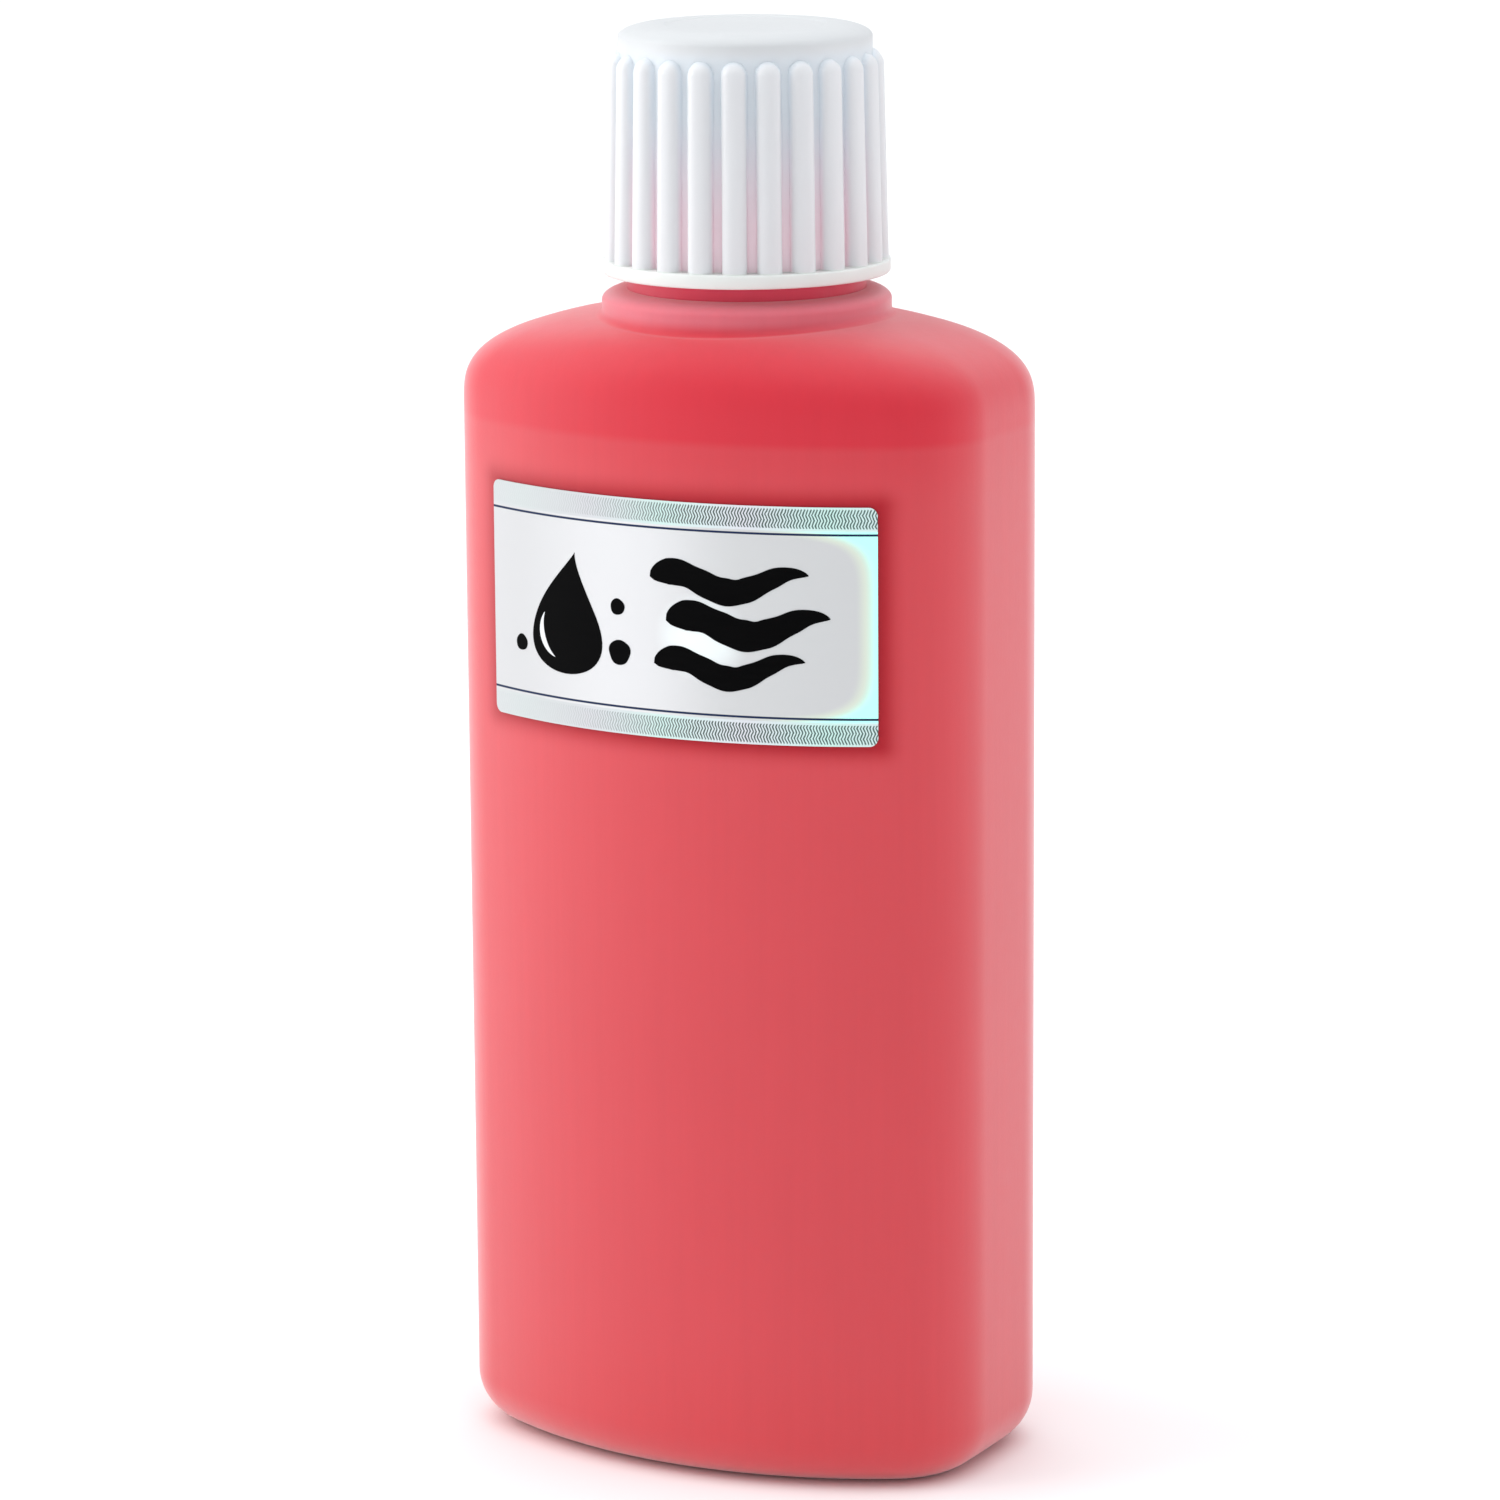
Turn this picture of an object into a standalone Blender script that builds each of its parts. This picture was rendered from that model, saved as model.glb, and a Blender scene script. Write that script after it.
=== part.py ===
"""A 200 ml plastic ink bottle: blow-moulded body, ink, pouring insert, ribbed screw cap with liner, and two labels.

The frame is +Z up, with X along the wide side and the front at -Y. The origin is the centre of the base.
"""

import math

import bpy
from mathutils import Vector

MM = 0.001

# ---- driving dimensions ----
TOTAL_HEIGHT = 150.0 * MM
HALF_WIDTH = 29.6 * MM
HALF_DEPTH = 20.35 * MM
FRONT_ARC = 49.6 * MM
SIDE_ARC = 345.0 * MM
CORNER_ARC = 10.9 * MM
WALL = 1.0 * MM
HEEL = 5.5 * MM
INK_LEVEL = 109.6 * MM
GAP = 0.3 * MM

# Shoulder: from the straight wall up to the collar under the cap.
SHOULDER_START = 110.7 * MM
SHOULDER_END = 120.2 * MM
SHOULDER_SLOPE = 1.5
SHOULDER_ROUND = 2.95
SHOULDER_DROP = 0.5 * MM

# Collar, neck and thread.
COLLAR_RADIUS = 15.0 * MM
COLLAR_TOP = 122.9 * MM
COLLAR_ROUND_IN = 2.5 * MM
COLLAR_ROUND_DOWN = 1.25 * MM
BEAD_RADIUS = 12.4 * MM
BEAD_TOP = 125.2 * MM
NECK_RADIUS = 11.1 * MM
NECK_BORE = 9.7 * MM
NECK_TOP = 145.7 * MM
PITCH = 3.2 * MM
THREAD_TURNS = 1.75
THREAD_HEIGHT = 1.0 * MM
THREAD_ROOT = 1.5 * MM
THREAD_CREST = 0.8 * MM
THREAD_SINK = 0.4 * MM
THREAD_START = 136.6 * MM
CAP_THREAD_START = THREAD_START - 0.5 * PITCH + 0.15 * MM

# Screw cap.
CAP_BOTTOM = 124.46 * MM
FLANGE_RADIUS = 14.9 * MM
FLANGE_HEIGHT = 1.45 * MM
CAP_FOOT_RADIUS = 13.35 * MM
CAP_HEAD_RADIUS = 13.1 * MM
CAP_EDGE_IN = 3.7 * MM
CAP_EDGE_DOWN = 1.3 * MM
CAP_BORE = 12.3 * MM
CAP_RELIEF = 12.8 * MM
CAP_CEILING = 148.5 * MM
RIBS = 24
RIB_RADIUS = 1.42 * MM
RIB_TOP = 147.3 * MM
RIB_CREST_TOP = 14.25 * MM
RIB_CREST_FOOT = 14.75 * MM
RIB_PHASE = math.radians(7.25)
DISH_RADIUS = 8.0 * MM
DISH_DEPTH = 0.15 * MM

# Liner and pouring insert.
LINER_RADIUS = 12.0 * MM
LINER_THICKNESS = 1.0 * MM
INSERT_FLANGE = 10.7 * MM
INSERT_FLANGE_HEIGHT = 0.8 * MM
INSERT_SKIRT = 9.0 * MM
INSERT_WALL = 0.9 * MM
SPOUT_BORE = 2.95 * MM
SPOUT_TIP = 3.8 * MM
SPOUT_FOOT = 4.8 * MM

# Labels: film on the front and back arcs. The front one sits a little to the right.
LABEL_HALF_WIDTH = 22.0 * MM
FRONT_LABEL_SHIFT = 0.5 * MM
LABEL_LOW = 79.1 * MM
LABEL_HIGH = 103.6 * MM
LABEL_CORNER = 1.2 * MM
LABEL_FILM = 0.15 * MM
LABEL_GAP = 0.1 * MM

# Facets.
AROUND = 60
TURNED = 48
THREAD_STEPS = 24
RIB_SIDES = 12

QUARTER = math.pi / 2


# ---- the body's oval section: four broad arcs joined by four corner arcs ----
def corner_centre():
    """Centre of the corner arc at +X, -Y, inside and tangent to the front arc and the side arc."""
    front = Vector((0.0, FRONT_ARC - HALF_DEPTH))
    side = Vector((HALF_WIDTH - SIDE_ARC, 0.0))
    to_front = FRONT_ARC - CORNER_ARC
    to_side = SIDE_ARC - CORNER_ARC
    between = side - front
    along = (to_front**2 - to_side**2 + between.length_squared) / (2 * between.length)
    off = math.sqrt(to_front**2 - along**2)
    unit = between.normalized()
    return front + along * unit + off * Vector((-unit.y, unit.x))


def reach(direction, centre, radius):
    """Distance from the axis along a unit direction to the far side of a circle."""
    along = direction.dot(centre)
    return along + math.sqrt(along**2 - centre.length_squared + radius**2)


def section_radius(angle, inset):
    """Distance from the axis to the section's outline, moved inwards by inset."""
    direction = Vector((abs(math.cos(angle)), -abs(math.sin(angle))))
    front = Vector((0.0, FRONT_ARC - HALF_DEPTH))
    side = Vector((HALF_WIDTH - SIDE_ARC, 0.0))
    corner = corner_centre()
    front_end = front + (corner - front).normalized() * (FRONT_ARC - inset)
    side_end = side + (corner - side).normalized() * (SIDE_ARC - inset)
    slope = math.atan2(direction.y, direction.x)
    if slope < math.atan2(front_end.y, front_end.x):
        return reach(direction, front, FRONT_ARC - inset)
    if slope > math.atan2(side_end.y, side_end.x):
        return reach(direction, side, SIDE_ARC - inset)
    return reach(direction, corner, CORNER_ARC - inset)


def angles():
    return [2 * math.pi * i / AROUND for i in range(AROUND)]


def oval_ring(inset, height):
    return [
        Vector((math.cos(a), math.sin(a), 0)) * section_radius(a, inset) + Vector((0, 0, height))
        for a in angles()
    ]


def round_ring(radius, height):
    return [Vector((radius * math.cos(a), radius * math.sin(a), height)) for a in angles()]


def shoulder_ring(share, inset, radius, top):
    """Ring between the oval wall (share 0) and the round neck (share 1)."""
    rise = (1 - (1 - share) ** SHOULDER_SLOPE) ** (1 / SHOULDER_ROUND)
    ring = []
    for a in angles():
        reach_here = (1 - share) * section_radius(a, inset) + share * radius
        end = top - SHOULDER_DROP * math.sin(a) ** 2
        height = SHOULDER_START + rise * (end - SHOULDER_START)
        ring.append(Vector((reach_here * math.cos(a), reach_here * math.sin(a), height)))
    return ring


def heel_rings(radius, inset, floor, steps):
    """Rounded edge between a floor and the wall, from the floor up."""
    rings = []
    for i in range(steps + 1):
        turn = QUARTER * i / steps
        rings.append(
            oval_ring(inset + radius * (1 - math.sin(turn)), floor + radius * (1 - math.cos(turn)))
        )
    return rings


# ---- helpers that make objects ----
def collection(name, hidden=False):
    made = bpy.data.collections.new(name)
    bpy.context.scene.collection.children.link(made)
    made.hide_render = hidden
    return made


def material(name, colour, roughness, alpha=1.0):
    made = bpy.data.materials.new(name)
    made.use_nodes = True
    shader = made.node_tree.nodes["Principled BSDF"]
    shader.inputs["Base Color"].default_value = (*colour, 1.0)
    shader.inputs["Roughness"].default_value = roughness
    shader.inputs["Metallic"].default_value = 0.0
    shader.inputs["Alpha"].default_value = alpha
    return made


def add_object(name, mesh, group, finish=None, parent=None):
    made = bpy.data.objects.new(name, mesh)
    group.objects.link(made)
    if finish is not None:
        mesh.materials.append(finish)
    if parent is not None:
        made.parent = parent
    return made


def smooth(mesh, degrees=35):
    mesh.shade_smooth()
    mesh.set_sharp_from_angle(angle=math.radians(degrees))


def loft_mesh(name, rings):
    """Closed skin through rings of equal length, with a flat cap on the first and the last."""
    count = len(rings[0])
    points = [point for ring in rings for point in ring]
    faces = [list(range(count))[::-1]]
    for row in range(len(rings) - 1):
        for i in range(count):
            here = row * count
            after = (i + 1) % count
            faces.append([here + i, here + after, here + count + after, here + count + i])
    last = (len(rings) - 1) * count
    faces.append([last + i for i in range(count)])
    mesh = bpy.data.meshes.new(name)
    mesh.from_pydata(points, [], faces)
    mesh.validate()
    smooth(mesh)
    return mesh


def turned_object(name, profile, group, finish=None, parent=None, closed=False):
    """A profile of (radius, height) points spun about Z by a Screw modifier, listed top to bottom outside."""
    mesh = bpy.data.meshes.new(name)
    edges = [(i, i + 1) for i in range(len(profile) - 1)]
    if closed:
        edges.append((len(profile) - 1, 0))
    mesh.from_pydata([(radius, 0, height) for radius, height in profile], edges, [])
    made = add_object(name, mesh, group, finish, parent)
    screw = made.modifiers.new("spin", "SCREW")
    screw.axis = "Z"
    screw.steps = TURNED
    screw.render_steps = TURNED
    screw.use_merge_vertices = True
    screw.merge_threshold = 0.00001
    screw.use_smooth_shade = True
    return made


def thread_mesh(name, wall, start, turns, inward):
    """Helical ridge on a wall of that radius, fading into the wall at both ends."""
    way = -1 if inward else 1
    steps = round(turns * THREAD_STEPS)
    fade = THREAD_STEPS // 6
    rings = []
    for i in range(steps + 1):
        angle = 2 * math.pi * i / THREAD_STEPS
        middle = start + PITCH * i / THREAD_STEPS
        grown = min(1.0, i / fade, (steps - i) / fade)
        crest = wall + way * (THREAD_HEIGHT * grown - 0.1 * MM * (1 - grown))
        root = wall - way * THREAD_SINK
        corners = [
            (root, middle - THREAD_ROOT / 2),
            (crest, middle - THREAD_CREST / 2),
            (crest, middle + THREAD_CREST / 2),
            (root, middle + THREAD_ROOT / 2),
        ]
        if inward:
            corners.reverse()
        rings.append(
            [Vector((r * math.cos(angle), r * math.sin(angle), height)) for r, height in corners]
        )
    return loft_mesh(name, [ring[::-1] for ring in rings])


def boolean(target, other, operation):
    step = target.modifiers.new(other.name, "BOOLEAN")
    step.operation = operation
    step.object = other
    step.solver = "EXACT"


def hide_helper(helper):
    helper.hide_render = True
    helper.display_type = "WIRE"


# ---- the sub-parts ----
def make_body(group, helpers, finish):
    rings = [
        oval_ring(9.4 * MM, 1.0 * MM),
        oval_ring(8.4 * MM, 0.0),
        *heel_rings(HEEL, 0.0, 0.0, 5),
    ]
    for i in range(0, 9):
        rings.append(shoulder_ring((i / 8) ** 1.6, 0.0, COLLAR_RADIUS, SHOULDER_END))
    for i in range(5):
        turn = QUARTER * i / 4
        rings.append(
            round_ring(
                COLLAR_RADIUS - COLLAR_ROUND_IN * (1 - math.cos(turn)),
                COLLAR_TOP - COLLAR_ROUND_DOWN * (1 - math.sin(turn)),
            )
        )
    neck_profile = [
        (BEAD_RADIUS, COLLAR_TOP),
        (BEAD_RADIUS, BEAD_TOP - 0.3 * MM),
        (BEAD_RADIUS - 0.3 * MM, BEAD_TOP),
        (NECK_RADIUS, BEAD_TOP + 0.3 * MM),
        (NECK_RADIUS, NECK_TOP - 0.4 * MM),
        (NECK_RADIUS - 0.4 * MM, NECK_TOP),
        (NECK_BORE + 0.2 * MM, NECK_TOP),
        (NECK_BORE, NECK_TOP - 0.3 * MM),
        (NECK_BORE, COLLAR_TOP - 1.2 * MM),
    ]
    rings += [round_ring(radius, height) for radius, height in neck_profile]
    under_collar = COLLAR_RADIUS - 1.5 * MM
    rings += [
        shoulder_ring((i / 6) ** 1.6, WALL, under_collar, SHOULDER_END - 1.2 * MM)
        for i in range(6, -1, -1)
    ]
    rings += heel_rings(HEEL - WALL, WALL, WALL, 4)[::-1]
    rings += [oval_ring(8.0 * MM, WALL), oval_ring(9.0 * MM, WALL + 1.0 * MM)]
    body = add_object("bottle_body", loft_mesh("bottle_body", rings), group, finish)
    ridge = add_object(
        "neck_thread_tool",
        thread_mesh("neck_thread", NECK_RADIUS, THREAD_START, THREAD_TURNS, False),
        helpers,
    )
    hide_helper(ridge)
    boolean(body, ridge, "UNION")
    return body


def make_ink(group, finish):
    inset = WALL + GAP
    floor = WALL + GAP
    rings = [
        oval_ring(9.0 * MM, floor + 1.0 * MM),
        oval_ring(8.0 * MM, floor),
        *heel_rings(HEEL - WALL, inset, floor, 4),
        oval_ring(inset, INK_LEVEL),
    ]
    return add_object("ink", loft_mesh("ink", rings), group, finish)


def make_insert(group, finish):
    """Pouring insert: a flange on the neck's rim, a skirt in the bore, and a spout in its well."""
    seat = NECK_TOP + GAP
    top = seat + INSERT_FLANGE_HEIGHT
    skirt_end = NECK_TOP - 9.0 * MM
    floor = NECK_TOP - 6.0 * MM
    inner = INSERT_SKIRT - INSERT_WALL
    profile = [
        (INSERT_FLANGE, top),
        (INSERT_FLANGE, seat),
        (INSERT_SKIRT, seat),
        (INSERT_SKIRT, seat - 2.0 * MM),
        (INSERT_SKIRT + 0.4 * MM, seat - 2.6 * MM),
        (INSERT_SKIRT, seat - 3.2 * MM),
        (INSERT_SKIRT, seat - 5.0 * MM),
        (INSERT_SKIRT + 0.4 * MM, seat - 5.6 * MM),
        (INSERT_SKIRT, seat - 6.2 * MM),
        (INSERT_SKIRT - 0.5 * MM, skirt_end),
        (inner, skirt_end),
        (inner, floor - INSERT_WALL),
        (SPOUT_BORE + 0.6 * MM, floor - INSERT_WALL),
        (SPOUT_BORE, top - 3.0 * MM),
        (SPOUT_BORE, top - 0.5 * MM),
        (SPOUT_TIP, top - 0.5 * MM),
        (SPOUT_FOOT, floor),
        (inner, floor),
        (inner, top),
    ]
    return turned_object("pouring_insert", profile, group, finish, closed=True)


def make_cap(group, helpers, finish, axle):
    """Ribbed shell: a turned blank joined with its ribs, then bored, then given its thread."""
    profile = [
        (0.0, TOTAL_HEIGHT - DISH_DEPTH),
        (DISH_RADIUS, TOTAL_HEIGHT - DISH_DEPTH),
        (DISH_RADIUS + 0.3 * MM, TOTAL_HEIGHT),
    ]
    for i in range(7):
        turn = QUARTER * i / 6
        profile.append(
            (
                CAP_HEAD_RADIUS - CAP_EDGE_IN * (1 - math.sin(turn)),
                TOTAL_HEIGHT - CAP_EDGE_DOWN * (1 - math.cos(turn)),
            )
        )
    flange_top = CAP_BOTTOM + FLANGE_HEIGHT
    profile += [
        (CAP_FOOT_RADIUS, flange_top),
        (FLANGE_RADIUS - 0.2 * MM, flange_top),
        (FLANGE_RADIUS, flange_top - 0.2 * MM),
        (FLANGE_RADIUS, CAP_BOTTOM + 0.2 * MM),
        (FLANGE_RADIUS - 0.2 * MM, CAP_BOTTOM),
        (0.0, CAP_BOTTOM),
    ]
    cap = turned_object("cap_shell", profile, group, finish, axle)
    rib = bpy.data.meshes.new("rib")
    rib.from_pydata(*rib_geometry())
    rib.validate()
    for i in range(RIBS):
        copy = add_object(f"rib_tool_{i + 1:02d}", rib, helpers)
        copy.rotation_euler.z = RIB_PHASE + 2 * math.pi * i / RIBS
        hide_helper(copy)
        boolean(cap, copy, "UNION")
    bore_profile = [
        (0.0, CAP_CEILING),
        (CAP_BORE - 0.6 * MM, CAP_CEILING),
        (CAP_BORE, CAP_CEILING - 0.6 * MM),
        (CAP_BORE, CAP_BOTTOM + 2.2 * MM),
        (CAP_RELIEF, CAP_BOTTOM + 1.7 * MM),
        (CAP_RELIEF, CAP_BOTTOM - 1.0 * MM),
        (0.0, CAP_BOTTOM - 1.0 * MM),
    ]
    bore = turned_object("cap_bore_tool", bore_profile, helpers)
    hide_helper(bore)
    boolean(cap, bore, "DIFFERENCE")
    ridge = add_object(
        "cap_thread_tool",
        thread_mesh("cap_thread", CAP_BORE, CAP_THREAD_START, THREAD_TURNS, True),
        helpers,
    )
    hide_helper(ridge)
    boolean(cap, ridge, "UNION")
    return cap


def rib_geometry():
    """Upright round bar with a domed top, leaning with the cap's draft, as points, edges and faces."""
    foot = CAP_BOTTOM + FLANGE_HEIGHT / 2
    dome_base = RIB_TOP - RIB_RADIUS
    levels = [(foot, 1.0), (dome_base, 1.0)]
    levels += [
        (dome_base + RIB_RADIUS * math.sin(t), math.cos(t)) for t in (math.radians(35), math.radians(65))
    ]
    points = []
    for height, share in levels:
        rise = (height - foot) / (RIB_TOP - foot)
        crest = RIB_CREST_FOOT + (RIB_CREST_TOP - RIB_CREST_FOOT) * rise
        for i in range(RIB_SIDES):
            angle = 2 * math.pi * i / RIB_SIDES
            points.append(
                (
                    crest - RIB_RADIUS + RIB_RADIUS * share * math.cos(angle),
                    RIB_RADIUS * share * math.sin(angle),
                    height,
                )
            )
    faces = [list(range(RIB_SIDES))[::-1]]
    for row in range(len(levels) - 1):
        for i in range(RIB_SIDES):
            low = row * RIB_SIDES
            after = (i + 1) % RIB_SIDES
            faces.append([low + i, low + after, low + RIB_SIDES + after, low + RIB_SIDES + i])
    last = (len(levels) - 1) * RIB_SIDES
    faces.append([last + i for i in range(RIB_SIDES)])
    return points, [], faces


def make_liner(group, finish, axle):
    """Foam disc held under the cap's ceiling."""
    top = CAP_CEILING - GAP
    bottom = top - LINER_THICKNESS
    profile = [
        (0.0, top),
        (LINER_RADIUS - 0.1 * MM, top),
        (LINER_RADIUS, top - 0.1 * MM),
        (LINER_RADIUS, bottom + 0.1 * MM),
        (LINER_RADIUS - 0.1 * MM, bottom),
        (0.0, bottom),
    ]
    return turned_object("cap_liner", profile, group, finish, axle)


def make_label(name, facing, shift, group, finish):
    """Film with round corners, wrapped on the front arc (facing -1) or the back arc (facing 1)."""
    centre_y = FRONT_ARC - HALF_DEPTH
    inner = FRONT_ARC + LABEL_GAP
    outer = inner + LABEL_FILM
    columns = [(-LABEL_HALF_WIDTH + LABEL_CORNER * (1 - math.cos(t))) for t in corner_turns()]
    plain = 18
    span = LABEL_HALF_WIDTH - LABEL_CORNER
    columns += [-span + 2 * span * i / plain for i in range(1, plain)]
    columns += [-x for x in columns[: len(corner_turns())][::-1]]
    rings = []
    for x in columns:
        past = max(0.0, abs(x) - span)
        trim = LABEL_CORNER - math.sqrt(max(0.0, LABEL_CORNER**2 - past**2))
        trim = min(trim, LABEL_CORNER * 0.98)
        turn = math.asin((x + shift) / outer)
        ring = []
        for radius, height in (
            (inner, LABEL_HIGH - trim),
            (outer, LABEL_HIGH - trim),
            (outer, LABEL_LOW + trim),
            (inner, LABEL_LOW + trim),
        ):
            y = facing * (radius * math.cos(turn) - centre_y)
            ring.append(Vector((-facing * radius * math.sin(turn), y, height)))
        rings.append(ring)
    return add_object(name, loft_mesh(name, rings), group, finish)


def corner_turns():
    return [QUARTER * i / 4 for i in range(5)]


def main():
    for old in list(bpy.data.objects):
        bpy.data.objects.remove(old)
    parts = collection("ink_bottle")
    helpers = collection("cutters", hidden=True)
    frosted = material("frosted_bottle", (0.93, 0.42, 0.42), 0.45)
    red_ink = material("red_ink", (0.72, 0.03, 0.05), 0.2)
    white_cap = material("white_cap", (0.9, 0.92, 0.94), 0.35)
    soft_insert = material("soft_insert", (0.88, 0.88, 0.86), 0.5)
    foam = material("liner_foam", (0.82, 0.82, 0.8), 0.85)
    silver_film = material("silver_film", (0.82, 0.84, 0.85), 0.3)
    axle = bpy.data.objects.new("cap_axis", None)
    parts.objects.link(axle)
    make_body(parts, helpers, frosted)
    make_ink(parts, red_ink)
    make_insert(parts, soft_insert)
    make_cap(parts, helpers, white_cap, axle)
    make_liner(parts, foam, axle)
    make_label("front_label", -1, FRONT_LABEL_SHIFT, parts, silver_film)
    make_label("back_label", 1, 0.0, parts, silver_film)


main()
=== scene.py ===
"""Looks for the ink bottle: fine meshes, procedural materials, studio light and camera.

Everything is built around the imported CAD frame, which is +Z up with the labelled front at -Y.
Lengths are in metres, and MM turns millimetres into them. Colours are linear.
"""

import math

import bpy
import numpy as np
from mathutils import Matrix, Vector


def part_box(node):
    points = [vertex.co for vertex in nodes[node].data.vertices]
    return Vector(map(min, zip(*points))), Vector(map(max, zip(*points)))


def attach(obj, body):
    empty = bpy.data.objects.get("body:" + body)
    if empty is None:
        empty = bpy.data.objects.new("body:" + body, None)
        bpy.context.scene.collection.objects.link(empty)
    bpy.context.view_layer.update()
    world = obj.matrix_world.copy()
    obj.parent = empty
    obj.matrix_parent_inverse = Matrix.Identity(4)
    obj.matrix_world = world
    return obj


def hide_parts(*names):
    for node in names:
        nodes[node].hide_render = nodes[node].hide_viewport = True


MM = 0.001
QUARTER = math.pi / 2

# ---- shape of the body: section arcs, wall, shoulder, collar and neck, as in the CAD ----
FRONT_ARC = 49.6 * MM
SIDE_ARC = 345.0 * MM
CORNER_ARC = 10.9 * MM
WALL = 1.0 * MM
HEEL = 5.5 * MM
PUSH_UP = 1.0 * MM
PUSH_UP_EDGE = 8.0 * MM
PUSH_UP_SLOPE = 1.6 * MM
PUSH_UP_FLAT = 11.5 * MM
SHOULDER_START = 110.7 * MM
SHOULDER_END = 120.2 * MM
SHOULDER_SLOPE = 1.5
SHOULDER_ROUND = 2.95
SHOULDER_DROP = 0.5 * MM
SHOULDER_CROWDING = 2.6
COLLAR_RADIUS = 15.0 * MM
COLLAR_TOP = 122.9 * MM
COLLAR_FILLET = 0.8 * MM
COLLAR_ROUND_IN = 2.5 * MM
COLLAR_ROUND_DOWN = 1.25 * MM
COLLAR_WALL = 1.5 * MM
COLLAR_THICK_DOWN = 1.2 * MM
BEAD_RADIUS = 12.4 * MM
BEAD_TOP = 125.2 * MM
NECK_RADIUS = 11.1 * MM
NECK_BORE = 9.7 * MM
PITCH = 3.2 * MM
THREAD_TURNS = 1.75
THREAD_START = 136.6 * MM
CAP_THREAD_START = THREAD_START - 0.5 * PITCH + 0.15 * MM
# Lower half of the thread's section, in mm: along the axis, then out from the wall.
THREAD_SECTION = ((-0.72, -0.4), (-0.66, 0.1), (-0.5, 0.72), (-0.3, 0.98))
THREAD_STEPS = 96

# ---- shape of the cap, insert and liner ----
FLANGE_HEIGHT = 1.45 * MM
CAP_FOOT_RADIUS = 13.35 * MM
CAP_HEAD_RADIUS = 13.1 * MM
CAP_EDGE_IN = 3.7 * MM
CAP_EDGE_DOWN = 1.3 * MM
CAP_BORE = 12.3 * MM
CAP_RELIEF = 12.8 * MM
CAP_CEILING = 148.5 * MM
CAP_RELIEF_TOP = 1.8 * MM
CAP_BORE_START = 2.3 * MM
RIBS = 24
RIB_RADIUS = 1.42 * MM
RIB_TOP = 147.3 * MM
RIB_CREST_TOP = 14.25 * MM
RIB_CREST_FOOT = 14.75 * MM
RIB_PHASE = math.radians(7.25)
RIB_FILLET = 0.16 * MM
RIB_SQUARE = 2.5
DISH_RADIUS = 8.0 * MM
DISH_DEPTH = 0.12 * MM
DISH_RIM = 0.4 * MM
INSERT_SKIRT = 9.0 * MM
INSERT_WALL = 0.9 * MM
SPOUT_BORE = 2.95 * MM
SPOUT_TIP = 3.8 * MM
SPOUT_FOOT = 4.8 * MM
INSERT_SEAT = 0.8 * MM
INSERT_FLOOR = 3.0 * MM
SEAL_RING = 0.4 * MM

# ---- label artwork, measured along the film from its middle ----
LABEL_CORNER = 0.9 * MM
BAND = 2.45 * MM
RULE_GAP = 0.35 * MM
RULE_WIDTH = 0.22 * MM
PRINT_HEIGHT = 0.03 * MM
PRINT_ROOT = -0.05 * MM
SHINE_RAISED = 0.02 * MM
# These are in mm, as the film's UV is. The frame is where the film's colours change.
HATCH_ROW = 0.55
HATCH_PITCH = 0.32
FRAME_HALF_WIDTH = 22.6
FRAME_PAST_BAND = 0.3
FRAME_SQUARE = 6.0

# ---- camera, floor and sky ----
CAMERA_AZIMUTH = math.radians(27.361)
CAMERA_DISTANCE = 658.6 * MM
CAMERA_HEIGHT = 212.2 * MM
CAMERA_PITCH = math.radians(11.862)
CAMERA_ROLL = math.radians(-0.397)
CAMERA_LENS = 153.94
CAMERA_SENSOR = 36.0
FLOOR_HALF_SIDE = 6.0
SKY_COLOUR = (0.95, 0.97, 1.0, 1.0)
SKY_STRENGTH = 0.63

# ---- how finely the meshes are divided ----
AROUND = 360
COLUMNS_PER_RIB = 28
LINER_AROUND = 192
INSERT_AROUND = 144
SHARP_ANGLE = math.radians(38)

# ---- colours, and how far the heel's darker red (thicker plastic and painted shade) and the painted shadow round the label reach ----
HEEL_THICK_SHADE_TOP = 17.0 * MM
HEEL_THICK_SHADE_FULL = 6.0 * MM
LABEL_SHADOW_REACH = 4.0 * MM
BLACK = (0.0, 0.0, 0.0, 1.0)
INK_BEHIND = (0.65, 0.067, 0.083, 1.0)
AIR_BEHIND = (0.65, 0.026, 0.047, 1.0)
# Darker red by the heel: partly its thicker plastic, partly painted shade.
HEEL_THICK_AND_SHADE = (0.64, 0.060, 0.070, 1.0)
# Painted shadow: deep dark red round the front label.
LABEL_SHADOW_RED = (0.43, 0.001, 0.012, 1.0)
COLLAR_PALE = (0.72, 0.26, 0.32, 1.0)
# Painted light and shade: the saturated red the bead shows in the cap's shadow, brightened as if
# lit through the plastic.
BEAD_PAINTED_LIGHT = (0.80, 0.055, 0.11, 1.0)
NECK_MILKY = (0.84, 0.53, 0.51, 1.0)
BODY_SHEEN = (1.0, 0.85, 0.86, 1.0)
CAP_WHITE = ((0.705, 0.715, 0.73, 1.0), (0.73, 0.74, 0.755, 1.0))
# Painted shade in the grooves high up, and painted red light bounced from the bottle low down.
GROOVE_PAINTED_SHADE = (0.72, 0.78, 0.835, 1.0)
GROOVE_RED_BOUNCE = (0.94, 0.69, 0.76, 1.0)
# Painted shade: the cap's top painted a darker grey.
CAP_TOP_SHADE = (0.57, 0.59, 0.60, 1.0)
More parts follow.
